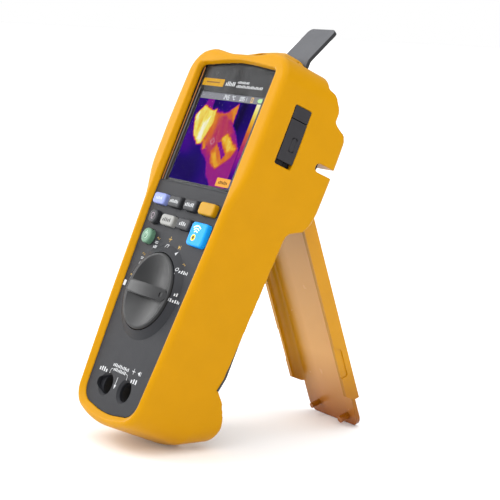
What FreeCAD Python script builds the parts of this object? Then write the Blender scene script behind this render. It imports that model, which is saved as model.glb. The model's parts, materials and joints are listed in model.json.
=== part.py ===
import FreeCAD, Part
import math
import os

# A handheld thermal multimeter that leans back on its open kickstand.
# Every piece is built upright: x runs to the right, y from the front rim to the back and z up along
# the meter, in millimetres. At the end each piece is leaned back and set down on the floor.

V = FreeCAD.Vector

# Stance
LEAN = 22.0
STAND_OPEN = 42.7

# Yellow holster. Outlines are right halves from bottom centre to top centre: x, z, corner radius.
OUTER = [
    (0, -2.4, 75), (31.8, 6.4, 14), (36.9, 62, 250), (40.6, 122, 30), (46.2, 138, 30),
    (46.9, 165, 300), (45.4, 204.2, 15), (29, 208.4, 24), (12, 206.0, 40),
]
OPENING = [
    (0, 5.5, 70), (26.8, 9.6, 10), (29.2, 44, 200), (34.4, 122, 200), (36.2, 198.4, 3.5), (0, 201.6, 130),
]
RIM_CREST = [
    (0, 2.6, 70), (30.2, 6.8, 12), (32.7, 44, 200), (36.7, 122, 200), (37.0, 199.2, 3.5), (0, 202.6, 130),
]
RIM_SLOPE_Y = 2.4
BACK = 40.0
RAIL_BACK = 50.5
RAIL_INNER_X = 27.3
RAIL_ROUND = 3.0
HEEL_BACK = 53.0
HEEL_ROUND = 4.0
SOLE_START = 35.0
SOLE_END = 60.0
FRONT_ROUND = 3.4
LIP = 3.5
FIT = 0.2
SKIN = 3.3
NOTCH_Z = (159.5, 164.0)
NOTCH_Y = 37.6
HUMP_HALF = 21.0
HUMP_TOP = 216.4
HUMP_SLOT = (13.0, 208.9, 213.1)

# Grey case
PANEL_Y = 2.6
PLATE_Y = 3.6
PLATE_BACK = 5.4
POCKET_BACK = 4.5
SHELF_BACK = 6.2
WINDOW_Y = 3.4
MASK_Y = 4.1
WALL = 2.2
SPLIT = 20.2
CASE_BACK = 40.8
WINDOW_BOTTOM = 131.6
SCREEN_HALF = 29.4
SCREEN_Z = (133.9, 184.1)

# Function knob
KNOB_Z = 72.6
KNOB_R = 21.0
KNOB_FRONT = -0.8
KNOB_BACK = 3.6
KNOB_FLOOR = 3.9
SHAFT_R = 4.2
DIAL_RING = (0.3, 21.6, 26.0)

# Input jacks, at the standard pin spacing
JACK_PITCH = 19.05
JACK_Z = 20.1
JACK_WELL_R = 5.2
JACK_BORE_R = 2.05
JACK_DEPTH = (10.0, 26.0)
LOBE_X = 6.2
LOBE_R = 2.7
LOBE_DEPTH = 5.0

# Buttons: name, centre x, centre z, width, height, corner radius
BUTTONS = [
    ("hold_button", -23.1, 121.2, 11.6, 6.0, 1.8),
    ("minmax_button", -7.7, 121.2, 11.6, 6.0, 1.8),
    ("range_button", 7.7, 121.2, 11.6, 6.0, 1.8),
    ("shift_button", 23.6, 121.2, 13.8, 6.6, 1.8),
    ("light_button", -22.6, 111.0, 8.0, 7.4, 3.4),
    ("setup_button", -8.0, 110.8, 12.2, 5.8, 1.8),
    ("save_button", 8.2, 110.8, 12.2, 5.8, 1.8),
    ("wireless_button", 24.0, 107.4, 14.2, 12.4, 2.0),
    ("power_button", -21.9, 100.2, 8.6, 8.2, 3.9),
]
BUTTON_FRONT = -0.4
BUTTON_GAP = 0.3
BUTTON_FLANGE = (5.6, 6.6)

# Kickstand, closed against the back
HINGE_Y = 46.5
HINGE_Z = 152.1
PIN_R = 1.5
RUNNING = 0.05
STAND_HALF = 26.8
STAND_PLATE = 2.2
STAND_FLANGE = 2.5
FLANGE_FRONT = 42.5
WIDE_REACH = 127.2
FOOT_HALF = 22.4
FOOT_ROUND = 7.0
STOP_INNER = 2.5
STOP_GAP = 0.08

# Data socket cover on the right side
COVER_Y = (13.0, 23.7)
COVER_Z = (154.0, 185.6)
GROOVE_Z = 178.5
COVER_INNER_X = 43.9
SOCKET_X = (34.5, 43.4)
SOCKET_Y = (15.0, 18.0)
SOCKET_Z = (160.1, 167.9)

# Hanging strap behind the hump
STRAP_HALF = 11.8
STRAP_T = 2.0
STRAP_PIVOT = (34.2, 206.6)
STRAP_KNEE = 217.0
STRAP_LEAN = 25.0
STRAP_LENGTH = 24.0

# Thermal camera on the back
CAMERA_Z = 172.0
BARREL_R = 9.0
LENS_R = 6.5

# Main board, battery compartment and screws
BOARD_Y = (9.7, 11.3)
DOOR_HALF = 20.7
DOOR_Z = (34.0, 108.0)
DOOR_SCREW = (15.5, 103.0)
CELL_X = 9.0
CELL_Y = 30.3
CELL_R = 8.3
CELL_Z = (37.0, 97.0)
SCREW_SPOTS = [(25.0, 27.0), (36.5, 150.0)]
BOSS_R = 3.2
SCREW_R = 1.25
SCREW_HEAD_R = 2.4
SCREW_SEAT = 36.8


def both_sides(half):
    """A closed list of corners from the right half of a symmetric outline."""
    left = [(-x, z, r) for x, z, r in reversed(half) if x > 0]
    return half + left


def corner_arc(before, corner, after):
    """Start, middle and end of the round at one corner of a flat outline."""
    here = V(corner[0], corner[1], 0)
    to_before = (V(before[0], before[1], 0) - here).normalize()
    to_after = (V(after[0], after[1], 0) - here).normalize()
    half = to_before.getAngle(to_after) / 2
    reach = corner[2] / math.tan(half)
    middle = (to_before + to_after).normalize() * (corner[2] / math.sin(half) - corner[2])
    return here + to_before * reach, here + middle, here + to_after * reach


def outline(corners, place):
    """A closed wire of lines and tangent arcs. place turns flat coordinates into a point."""
    count = len(corners)
    arcs = []
    for i, corner in enumerate(corners):
        if corner[2] > 0:
            arcs.append(corner_arc(corners[i - 1], corner, corners[(i + 1) % count]))
        else:
            here = V(corner[0], corner[1], 0)
            arcs.append((here, None, here))
    edges = []
    for i, (start, middle, end) in enumerate(arcs):
        if middle is not None:
            edges.append(Part.Arc(place(start), place(middle), place(end)).toShape())
        following = arcs[(i + 1) % count][0]
        if end.distanceToPoint(following) > 1e-4:
            edges.append(Part.LineSegment(place(end), place(following)).toShape())
    return Part.Wire(edges)


def front_wire(corners):
    """An outline seen from the front, in the plane y = 0."""
    return outline(corners, lambda p: V(p.x, 0, p.y))


def side_prism(corners, x0, x1):
    """An outline of (y, z, radius) seen from the side, pushed from x0 to x1."""
    wire = outline(corners, lambda p: V(x0, p.x, p.y))
    return Part.Face(wire).extrude(V(x1 - x0, 0, 0))


def prism(wire, y0, y1):
    """A front outline pushed from y0 to y1."""
    return Part.Face(wire.translated(V(0, y0, 0))).extrude(V(0, y1 - y0, 0))


def box(x0, x1, y0, y1, z0, z1):
    return Part.makeBox(x1 - x0, y1 - y0, z1 - z0, V(x0, y0, z0))


def rod(x, z, radius, y0, y1):
    return Part.makeCylinder(radius, y1 - y0, V(x, y0, z), V(0, 1, 0))


def cross_rod(y, z, radius, half):
    return Part.makeCylinder(radius, 2 * half, V(-half, y, z), V(1, 0, 0))


def ring(x, z, outer, inner, y0, y1):
    return rod(x, z, outer, y0, y1).cut(rod(x, z, inner, y0 - 1, y1 + 1))


def pad_wire(x, z, width, height, radius, grow=0.0):
    """A rounded rectangle seen from the front."""
    a = width / 2 + grow
    b = height / 2 + grow
    r = min(radius + grow, a - 0.1, b - 0.1)
    return front_wire([(x - a, z - b, r), (x + a, z - b, r), (x + a, z + b, r), (x - a, z + b, r)])


def mirrored(shape):
    return shape.fuse(shape.mirror(V(0, 0, 0), V(1, 0, 0)))


def edges_at_y(shape, y):
    return [e for e in shape.Edges if all(abs(v.Point.y - y) < 1e-6 for v in e.Vertexes)]


def rounded_at_y(shape, y, radius):
    return shape.makeFillet(radius, edges_at_y(shape, y))


def lifted_outline():
    """The outer outline with its bottom raised, as it would be at the end of the rising sole."""
    rise = (SOLE_END - SOLE_START) * math.tan(math.radians(LEAN))
    bottom, corner, above = OUTER[0], OUTER[1], OUTER[2]
    drift = (above[0] - corner[0]) / (above[1] - corner[1]) * rise
    lifted = [(0, bottom[1] + rise, bottom[2]), (corner[0] + drift, corner[1] + rise, corner[2])]
    return lifted + OUTER[2:]


OUTER_WIRE = front_wire(both_sides(OUTER))
LIFTED_WIRE = front_wire(both_sides(lifted_outline()))
OPENING_WIRE = front_wire(both_sides(OPENING))
CASE_WIRE = OUTER_WIRE.makeOffset2D(-SKIN)
INNER_WIRE = OUTER_WIRE.makeOffset2D(-SKIN - WALL)
PANEL_WIRE = OPENING_WIRE.makeOffset2D(-BUTTON_GAP)
WINDOW_LIMIT = box(-60, 60, -5, 60, WINDOW_BOTTOM, 230)


def top_slope(inset, back):
    """The waste behind the sloping top of the head, lowered by inset, down to the plane y = back."""
    return side_prism(
        [(31 - inset, 230, 0), (31 - inset, 201.2 - inset, 0), (35.5 - inset, 200.0 - inset, 3),
         (back, 192.4 - inset, 4), (back, 187.2, 0), (70, 187.2, 0), (70, 230, 0)],
        -60, 60)


def sole_waste(inset):
    """The waste below the sole, which rises towards the back and lies flat on the floor."""
    outlines = [OUTER_WIRE, LIFTED_WIRE]
    if inset > 0:
        outlines = [wire.makeOffset2D(-inset) for wire in outlines]
    kept = Part.makeLoft(
        [outlines[0].translated(V(0, SOLE_START, 0)), outlines[1].translated(V(0, SOLE_END, 0))], True, True)
    return box(-60, 60, SOLE_START, SOLE_END, -20, 32).cut(kept)


def back_waste():
    """Everything behind the holster except its two rails and its heel."""
    below_rails = [
        (BACK, 37.5, 1), (45.2, 32.5, 2), (49.9, 24.5, 3), (53.6, 16, 0), (60, 16, 0), (60, 136.5, 0),
        (50.9, 136.5, 4), (47.6, 128.6, 4), (BACK, 124.8, 4),
    ]
    above_rails = [
        (BACK, 186.4, 3), (47.6, 182.6, 3), (50.6, 178.2, 3), (60, 178.2, 0), (60, 200, 0), (BACK, 200, 0),
    ]
    waste = side_prism(below_rails, -60, 60).fuse(side_prism(above_rails, -60, 60))
    return waste.fuse(top_slope(0, BACK))


def stand_bay():
    """The gap between the rails and inside the heel where the stand folds in."""
    upper = box(-RAIL_INNER_X, RAIL_INNER_X, BACK, 60, 21.0, 190)
    foot = box(-FOOT_HALF - 1.0, FOOT_HALF + 1.0, BACK + 1.6, 60, 5.4, 22.0)
    return upper.fuse(foot)


def hump():
    """The raised bridge on top of the head, with its slot and the two strap lugs behind it."""
    profile = side_prism(
        [(9, 200, 0), (9, 206.5, 0), (18.5, 213.4, 6), (23.5, HUMP_TOP, 4), (31, HUMP_TOP, 2), (31, 200, 0)],
        -HUMP_HALF, HUMP_HALF)
    rise = HUMP_TOP - 205.0
    radius = (HUMP_HALF ** 2 + rise ** 2) / (2 * rise)
    arch = rod(0, HUMP_TOP - radius, radius, 5, 40)
    bridge = profile.common(arch)
    half, low, high = HUMP_SLOT
    slot = front_wire([(-half, low, 1.5), (half, low, 1.5), (half * 0.75, high, 3), (-half * 0.75, high, 3)])
    bridge = bridge.cut(prism(slot, 5, 40))
    return bridge


def strap_lugs():
    """The two lugs that carry the strap's pin, and their bores."""
    y, z = STRAP_PIVOT
    profile = [(30.5, 197, 0), (y + 2.6, 197, 0), (y + 2.6, z + 2.6, 2.4), (30.5, z + 2.6, 0)]
    lugs = side_prism(profile, 12.2, 15.6)
    return mirrored(lugs).cut(cross_rod(y, z, 1.0, 16))


def heel_ear_cut():
    """The slanted facet on the outer side of each heel ear."""
    facet = side_prism([(40.2, 40, 0), (60, 34, 0), (60, 19.6, 0), (38.6, 28.2, 1)], 34.6, 60)
    return mirrored(facet)


def rim_slope():
    """The sloping inner face of the front rim, wide low down and steep round the display."""
    crest = front_wire(both_sides(RIM_CREST)).translated(V(0, -0.01, 0))
    foot = OPENING_WIRE.translated(V(0, RIM_SLOPE_Y, 0))
    return Part.makeLoft([crest, foot], True, True)


def holster():
    body = rounded_at_y(prism(OUTER_WIRE, 0, BACK), 0, FRONT_ROUND)
    rails = rounded_at_y(prism(OUTER_WIRE, 30, RAIL_BACK), RAIL_BACK, RAIL_ROUND)
    body = body.fuse(rails.common(box(-60, 60, 20, 60, 110, 230)))
    heel = rounded_at_y(prism(OUTER_WIRE, 35, HEEL_BACK).cut(sole_waste(0)), HEEL_BACK, HEEL_ROUND)
    body = body.cut(sole_waste(0))
    body = body.fuse(heel.common(box(-60, 60, 20, 60, -10, 45))).removeSplitter()
    body = body.cut(back_waste())
    body = body.cut(heel_ear_cut())
    body = body.fuse(hump())
    cavity = prism(CASE_WIRE, LIP, CASE_BACK + FIT).cut(top_slope(SKIN, CASE_BACK + FIT))
    cavity = cavity.cut(sole_waste(SKIN))
    body = body.cut(cavity)
    body = body.cut(prism(OPENING_WIRE, -1, LIP + 1))
    body = body.cut(rim_slope())
    body = body.cut(stand_bay())
    body = body.cut(box(-60, 60, NOTCH_Y + 2.2, 60, *NOTCH_Z))
    body = body.cut(Part.makeCylinder(2.25, 120, V(-60, NOTCH_Y + 2.25, sum(NOTCH_Z) / 2), V(1, 0, 0)))
    body = body.cut(box(40, 60, *COVER_Y, *COVER_Z))
    body = body.cut(cross_rod(HINGE_Y, HINGE_Z, PIN_R + RUNNING, 36))
    half, low, high = HUMP_SLOT
    body = body.cut(box(-half, half, 26, 40, low + 0.2, high - 0.2))
    return body.fuse(strap_lugs()).removeSplitter()


def screw_spots():
    return [(side * x, z) for x, z in SCREW_SPOTS for side in (-1, 1)]


def dial_ring():
    """The low cone that rises round the knob from the panel."""
    front, inner, outer = DIAL_RING
    height = PANEL_Y - front
    cone = Part.makeCone(inner, outer, height, V(0, front, KNOB_Z), V(0, 1, 0))
    return cone.fuse(rod(0, KNOB_Z, outer, PANEL_Y, PLATE_Y))


def lobe_waste():
    """The drop shape that leads into the left jack from its outer side."""
    centre = V(-JACK_PITCH / 2, 0, JACK_Z)
    spread = math.acos((JACK_WELL_R - LOBE_R) / LOBE_X)
    side = V(-math.cos(spread), 0, math.sin(spread))
    other = V(side.x, 0, -side.z)
    tip = centre - V(LOBE_X, 0, 0)
    wide = [centre + side * JACK_WELL_R, centre + other * JACK_WELL_R]
    narrow = [tip + other * LOBE_R, tip + side * LOBE_R]
    edge = Part.makePolygon(wide + narrow + wide[:1])
    web = Part.Face(edge).extrude(V(0, LOBE_DEPTH, 0))
    return web.fuse(rod(tip.x, tip.z, LOBE_R, 0, LOBE_DEPTH))


def front_case():
    body = prism(CASE_WIRE, PLATE_Y, SPLIT - 0.3)
    body = body.cut(prism(INNER_WIRE, PLATE_BACK, SPLIT))
    shelf = prism(OPENING_WIRE.makeOffset2D(1.5), PLATE_Y, SHELF_BACK)
    body = body.fuse(shelf.common(box(-60, 60, -5, 60, 128.5, 230)))
    body = body.fuse(prism(PANEL_WIRE, PANEL_Y, PLATE_Y).cut(WINDOW_LIMIT))
    body = body.cut(prism(PANEL_WIRE, PLATE_Y - 1, POCKET_BACK).common(WINDOW_LIMIT))
    body = body.cut(box(-30.7, 30.7, 0, 9, 132.8, 185.2))
    for _, x, z, width, height, radius in BUTTONS:
        body = body.cut(prism(pad_wire(x, z, width, height, radius, BUTTON_GAP), 0, 9))
    body = body.fuse(dial_ring())
    body = body.cut(rod(0, KNOB_Z, KNOB_R + 0.4, 0, KNOB_FLOOR))
    body = body.cut(rod(0, KNOB_Z, SHAFT_R + RUNNING, 0, 9))
    for side in (-1, 1):
        x = side * JACK_PITCH / 2
        body = body.cut(rod(x, JACK_Z, JACK_WELL_R, 0, 9))
        funnel = Part.makeCone(JACK_WELL_R + 1.3, JACK_WELL_R, 1.3, V(x, PANEL_Y, JACK_Z), V(0, 1, 0))
        body = body.cut(funnel)
    body = body.cut(lobe_waste())
    for x, z in screw_spots():
        body = body.fuse(ring(x, z, BOSS_R, SCREW_R + RUNNING, PLATE_BACK, SPLIT - 0.3))
    body = body.cut(box(40, 50, SOCKET_Y[0] - 0.4, SOCKET_Y[1] + 0.4, SOCKET_Z[0] - 0.4, SOCKET_Z[1] + 0.4))
    return body.removeSplitter()


def rear_case():
    body = prism(CASE_WIRE.makeOffset2D(-FIT), SPLIT + 0.3, CASE_BACK)
    body = body.cut(top_slope(SKIN + FIT, CASE_BACK)).cut(sole_waste(SKIN + FIT))
    hollow = prism(INNER_WIRE, SPLIT, CASE_BACK - 2.0)
    body = body.cut(hollow.cut(top_slope(SKIN + WALL, CASE_BACK)).cut(sole_waste(SKIN + WALL)))
    body = body.fuse(box(-34, 34, 34.0, CASE_BACK - 1.9, 99.6, 106.4))
    body = body.fuse(box(-30, 30, 30.0, CASE_BACK - 1.9, CELL_Z[0] - 3.6, CELL_Z[0] - 0.2))
    door_half = DOOR_HALF + FIT
    body = body.cut(box(-door_half, door_half, CASE_BACK - 2.1, 45, DOOR_Z[0] - FIT, DOOR_Z[1] + FIT))
    for x, z in screw_spots():
        body = body.fuse(rod(x, z, BOSS_R, SPLIT + 0.3, CASE_BACK - 1))
        body = body.cut(rod(x, z, SCREW_R + 0.35, SPLIT, SCREW_SEAT))
        body = body.cut(rod(x, z, SCREW_HEAD_R + 0.2, SCREW_SEAT, CASE_BACK + 1))
    for side in (-1, 1):
        body = body.cut(rod(side * DOOR_SCREW[0], DOOR_SCREW[1], 1.4, 33, 45))
    body = body.cut(rod(0, CAMERA_Z, BARREL_R + 0.2, 35, 45))
    return body.removeSplitter()


def case_gasket():
    outer = OUTER_WIRE.makeOffset2D(-SKIN - 0.6)
    inner = OUTER_WIRE.makeOffset2D(-SKIN - 1.8)
    return prism(outer, SPLIT - 0.3, SPLIT + 0.3).cut(prism(inner, SPLIT - 1, SPLIT + 1))


def key_hole(x, z, radius, y0, y1):
    """A hexagonal key hole."""
    corners = []
    for i in range(6):
        angle = math.radians(60 * i)
        corners.append((x + radius * math.cos(angle), z + radius * math.sin(angle), 0))
    return prism(front_wire(corners), y0, y1)


def case_screws():
    screws = []
    for x, z in screw_spots():
        shank = rod(x, z, SCREW_R, 9.0, SCREW_SEAT)
        head = rod(x, z, SCREW_HEAD_R, SCREW_SEAT, SCREW_SEAT + 2.2)
        screws.append(shank.fuse(head).cut(key_hole(x, z, 1.2, SCREW_SEAT + 1.0, CASE_BACK)))
    return Part.makeCompound(screws)


def window_sheet(y0, y1):
    """A sheet that fills the display pocket with a little play all round."""
    sheet = prism(PANEL_WIRE.makeOffset2D(-0.15), y0, y1)
    return sheet.common(box(-60, 60, -5, 60, WINDOW_BOTTOM + 0.15, 230))


def display_window():
    return window_sheet(WINDOW_Y, MASK_Y)


def display_mask():
    opening = box(-SCREEN_HALF, SCREEN_HALF, 3, 6, *SCREEN_Z)
    return window_sheet(MASK_Y, POCKET_BACK).cut(opening)


def screen_block(grow, y0, y1):
    """A block round the display area, grown sideways, up and down."""
    half = SCREEN_HALF + grow
    return box(-half, half, y0, y1, SCREEN_Z[0] - grow, SCREEN_Z[1] + grow)


def display_module():
    tail = box(-8, 8, 8.1, 8.5, SCREEN_Z[0], 150)
    return screen_block(0.9, POCKET_BACK, 8.1).fuse(tail)


def display_gasket():
    return screen_block(3.4, SHELF_BACK, 7.6).cut(screen_block(1.1, 5, 9))


def main_board():
    body = prism(INNER_WIRE.makeOffset2D(-1.0), *BOARD_Y)
    body = body.cut(box(-60, 60, 0, 40, -10, 31.5))
    body = body.cut(rod(0, KNOB_Z, SHAFT_R + 0.5, 0, 40))
    for x, z in screw_spots():
        body = body.cut(rod(x, z, BOSS_R + 0.4, 0, 40))
    return body.cut(box(36.5, 50, 0, 40, 158, 170))


def keypad_membrane():
    sheet = prism(pad_wire(0, 110.8, 62.0, 28.6, 3.0), 7.8, 8.4)
    domes = [Part.makeCone(2.6, 1.8, 1.2, V(key[1], 8.4, key[2]), V(0, 1, 0)) for key in BUTTONS]
    return sheet.multiFuse(domes)


def button(x, z, width, height, radius):
    """A key cap with a rounded front edge and a flange that holds it behind the panel."""
    cap = prism(pad_wire(x, z, width, height, radius), BUTTON_FRONT, BUTTON_FLANGE[0])
    cap = rounded_at_y(cap, BUTTON_FRONT, 0.9)
    return cap.fuse(prism(pad_wire(x, z, width, height, radius, 0.8), *BUTTON_FLANGE))


def wireless_board():
    board = box(12, 33, BOARD_Y[1], BOARD_Y[1] + 1.0, 110, 130)
    shield = box(14, 27, BOARD_Y[1] + 1.0, BOARD_Y[1] + 3.0, 112, 128)
    return board.fuse(shield)


def buzzer():
    return ring(-20, 120, 6.5, 1.0, BOARD_Y[1], BOARD_Y[1] + 5.0)


def usb_socket():
    """A metal shell with a contact tongue, carried above the main board on two legs."""
    shell = box(*SOCKET_X, *SOCKET_Y, *SOCKET_Z)
    mouth = box(40.0, 44.0, SOCKET_Y[0] + 0.5, SOCKET_Y[1] - 0.5, SOCKET_Z[0] + 0.5, SOCKET_Z[1] - 0.5)
    tongue = box(39.5, 43.0, 16.2, 16.8, 161.4, 166.6)
    legs = [box(SOCKET_X[0], 36.4, BOARD_Y[1], SOCKET_Y[0], z, z + 1.5) for z in (160.5, 166.0)]
    return shell.cut(mouth).multiFuse([tongue] + legs)


def knob_scoop(side):
    """A bowl beside the knob's grip bar."""
    depth = 3.4
    reach = 17.6
    radius = (reach ** 2 + depth ** 2) / (2 * depth)
    bowl = Part.makeSphere(radius, V(0, KNOB_FRONT + depth - radius, KNOB_Z + side * 1.8))
    z0, z1 = sorted((KNOB_Z + side * 3.5, KNOB_Z + side * 30))
    return bowl.common(box(-30, 30, -10, 10, z0, z1))


def knob_bar():
    """The crowned top of the grip bar, pointed towards the chosen function."""
    corners = [
        (-18.6, KNOB_Z - 2.6, 1.2), (0, KNOB_Z - 3.3, 60), (17.6, KNOB_Z - 2.9, 1), (20.4, KNOB_Z, 1.2),
        (17.6, KNOB_Z + 2.9, 1), (0, KNOB_Z + 3.3, 60), (-18.6, KNOB_Z + 2.6, 1.2),
    ]
    bar = prism(front_wire(corners), KNOB_FRONT - 2.0, KNOB_FRONT + 0.5)
    crown = 110.0
    bar = bar.common(Part.makeCylinder(crown, 20, V(0, KNOB_FRONT - 1.8 + crown, KNOB_Z - 10), V(0, 0, 1)))
    return bar.cut(prism(pad_wire(16.2, KNOB_Z, 4.6, 2.4, 0.5), -6, KNOB_FRONT - 0.6))


def switch_knob():
    body = rod(0, KNOB_Z, KNOB_R, KNOB_FRONT, KNOB_BACK)
    body = rounded_at_y(body, KNOB_FRONT, 1.2)
    body = body.cut(knob_scoop(1)).cut(knob_scoop(-1))
    return body.fuse(knob_bar())


def knob_shaft():
    return rod(0, KNOB_Z, SHAFT_R, KNOB_BACK, 13.0)


def switch_rotor():
    disc = ring(0, KNOB_Z, 14.0, SHAFT_R, 5.6, 6.9)
    wipers = [rod(side * 9.5, KNOB_Z, 1.0, 6.9, 7.3) for side in (-1, 1)]
    return disc.multiFuse(wipers)


def rotary_contact_plate():
    return ring(0, KNOB_Z, 15.0, SHAFT_R + 0.4, 7.5, BOARD_Y[0])


def detent_spring():
    leaf = box(-9, 9, 5.4, 6.8, KNOB_Z - 15.2, KNOB_Z - 14.5)
    feet = [box(x - 1.5, x + 1.5, PLATE_BACK, 6.8, KNOB_Z - 17.5, KNOB_Z - 14.5) for x in (-9, 9)]
    return leaf.multiFuse(feet)


def jack_insulators():
    wells = []
    for side in (-1, 1):
        x = side * JACK_PITCH / 2
        well = ring(x, JACK_Z, 7.0, JACK_WELL_R, PLATE_BACK, 27.0)
        floor = ring(x, JACK_Z, 7.0, 3.0, 27.0, 29.0)
        wells.append(well.fuse(floor))
    return Part.makeCompound(wells)


def jack_contacts():
    sleeves = []
    for side in (-1, 1):
        x = side * JACK_PITCH / 2
        sleeve = rod(x, JACK_Z, 3.0, JACK_DEPTH[0], 29.0)
        sleeves.append(sleeve.cut(rod(x, JACK_Z, JACK_BORE_R, JACK_DEPTH[0] - 1, JACK_DEPTH[1])))
    return Part.makeCompound(sleeves)


def battery_pack():
    """Two cylindrical cells side by side, wrapped as one pack."""
    length = CELL_Z[1] - CELL_Z[0]
    cells = [Part.makeCylinder(CELL_R, length, V(x, CELL_Y, CELL_Z[0])) for x in (-CELL_X, CELL_X)]
    web = box(-CELL_X, CELL_X, CELL_Y - CELL_R, CELL_Y + CELL_R, *CELL_Z)
    return web.multiFuse(cells)


def battery_contacts():
    """A contact plate above each cell, with a lug up to the rib of the case."""
    plates = []
    for x in (-CELL_X, CELL_X):
        plate = box(x - 3, x + 3, 24, 36, CELL_Z[1] + 0.2, CELL_Z[1] + 1.0)
        plates.append(plate.fuse(box(x - 2, x + 2, 34.4, 36, CELL_Z[1] + 1.0, 99.6)))
    return Part.makeCompound(plates)


def battery_door():
    door = box(-DOOR_HALF, DOOR_HALF, CASE_BACK - 2.0, CASE_BACK, *DOOR_Z)
    for side in (-1, 1):
        x = side * DOOR_SCREW[0]
        door = door.cut(rod(x, DOOR_SCREW[1], 1.5, 30, 50))
        door = door.cut(rod(x, DOOR_SCREW[1], 2.8, CASE_BACK - 1.2, 50))
    grips = [box(-8, 8, CASE_BACK - 0.5, 50, z, z + 1.2) for z in (40, 43, 46)]
    return door.cut(grips[0].multiFuse(grips[1:]))


def battery_door_screws():
    screws = []
    for side in (-1, 1):
        x, z = side * DOOR_SCREW[0], DOOR_SCREW[1]
        shank = rod(x, z, 1.3, 34.5, CASE_BACK - 1.2)
        head = rod(x, z, 2.6, CASE_BACK - 1.2, CASE_BACK - 0.1)
        slot = box(x - 3, x + 3, CASE_BACK - 0.7, 50, z - 0.4, z + 0.4)
        screws.append(shank.fuse(head).cut(slot))
    return Part.makeCompound(screws)


def camera_board():
    return box(-16, 16, 26.0, 27.6, CAMERA_Z - 14, CAMERA_Z + 14)


def camera_barrel():
    return ring(0, CAMERA_Z, BARREL_R, LENS_R + 0.1, 27.6, 45.0)


def camera_lens():
    """A domed window, seated in the front of the barrel."""
    curve = 24.0
    disc = rod(0, CAMERA_Z, LENS_R, 38.0, 44.0)
    return disc.common(Part.makeSphere(curve, V(0, 44.0 - curve, CAMERA_Z)))


def camera_bezel():
    body = ring(0, CAMERA_Z, 13.5, BARREL_R + 0.1, CASE_BACK, 45.4)
    return rounded_at_y(body, 45.4, 1.2)


def floor_height(body):
    """The height of the floor under a piece once it is leaned back."""
    leaned = body.copy()
    leaned.rotate(V(0, 0, 0), V(1, 0, 0), -LEAN)
    return leaned.optimalBoundingBox(False, False).ZMin


def stand_reach(floor):
    """Hinge to foot tip, so that the open foot and the heel stand on one floor."""
    lean = math.radians(LEAN)
    opened = math.radians(STAND_OPEN)
    tip = STAND_PLATE / 2
    offset = RAIL_BACK - HINGE_Y - tip
    pivot_y = HINGE_Y + offset * math.cos(opened)
    pivot_z = HINGE_Z + offset * math.sin(opened)
    drop = -pivot_y * math.sin(lean) + pivot_z * math.cos(lean) - tip - floor
    return drop / math.cos(opened - lean) + tip


def stop_height():
    """How far the stop stands above the hinge, so that it meets the case when the stand is open."""
    opened = math.radians(STAND_OPEN)
    gap = HINGE_Y - CASE_BACK - STOP_GAP
    return (gap - STOP_INNER * math.cos(opened)) / math.sin(opened)


def kickstand(floor):
    """The folding stand, closed: a channel with a narrow foot, two pegs and a stop above the hinge."""
    wide_end = HINGE_Z - WIDE_REACH
    foot_end = HINGE_Z - stand_reach(floor)
    plate_y = RAIL_BACK - STAND_PLATE
    channel = box(-STAND_HALF, STAND_HALF, FLANGE_FRONT, RAIL_BACK, wide_end, HINGE_Z)
    hollow_half = STAND_HALF - STAND_FLANGE
    hollow = box(-hollow_half, hollow_half, FLANGE_FRONT - 1, plate_y, wide_end - 1, HINGE_Z - 7)
    deep_corners = [e for e in edges_at_y(hollow, plate_y)
                    if abs(e.Vertexes[0].Point.x - e.Vertexes[1].Point.x) < 1e-6]
    channel = channel.cut(hollow.makeFillet(5.0, deep_corners))
    slant = side_prism([(40, wide_end - 1, 0), (48.0, wide_end - 1, 0), (40, wide_end + 6, 0)], -60, 60)
    channel = channel.cut(slant)
    barrel = cross_rod(HINGE_Y, HINGE_Z, RAIL_BACK - HINGE_Y, STAND_HALF)
    stop = box(-STAND_HALF, STAND_HALF, HINGE_Y - STOP_INNER, RAIL_BACK, HINGE_Z, HINGE_Z + stop_height())
    foot_top = wide_end + 6
    foot = prism(front_wire([(-FOOT_HALF, foot_end, FOOT_ROUND), (FOOT_HALF, foot_end, FOOT_ROUND),
                             (FOOT_HALF, foot_top, 0), (-FOOT_HALF, foot_top, 0)]), plate_y, RAIL_BACK)
    tip = STAND_PLATE / 2 - 0.01
    foot = foot.common(side_prism([(plate_y, foot_end, tip), (RAIL_BACK, foot_end, tip),
                                   (RAIL_BACK, foot_top, 0), (plate_y, foot_top, 0)], -60, 60))
    body = channel.multiFuse([barrel, stop, foot])
    for x, rise, radius in ((-12.0, 8.0, 1.6), (14.0, 6.0, 2.0)):
        body = body.fuse(rod(x, foot_end + rise, radius, FLANGE_FRONT, plate_y + 0.5))
    for side in (-1, 1):
        x0, x1 = sorted((side * (STAND_HALF - 0.6), side * (STAND_HALF + 1)))
        relief = side_prism([(41, 40.0, 0), (46.8, 40.0, 1), (46.8, 56, 1.5), (41, 60, 0)], x0, x1)
        body = body.cut(relief)
    return body.cut(cross_rod(HINGE_Y, HINGE_Z, PIN_R + RUNNING, 40)).removeSplitter()


def stand_hinge_pin():
    return cross_rod(HINGE_Y, HINGE_Z, PIN_R, 35)


def cover_strip(z0, z1):
    flush = prism(OUTER_WIRE.makeOffset2D(-0.1), 10, 30)
    return box(COVER_INNER_X, 60, COVER_Y[0] + FIT, COVER_Y[1] - FIT, z0, z1).common(flush)


def usb_cover():
    return cover_strip(COVER_Z[0] + 2.6, GROOVE_Z - 0.25)


def usb_cover_anchor():
    return cover_strip(GROOVE_Z + 0.25, COVER_Z[1] - FIT)


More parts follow.
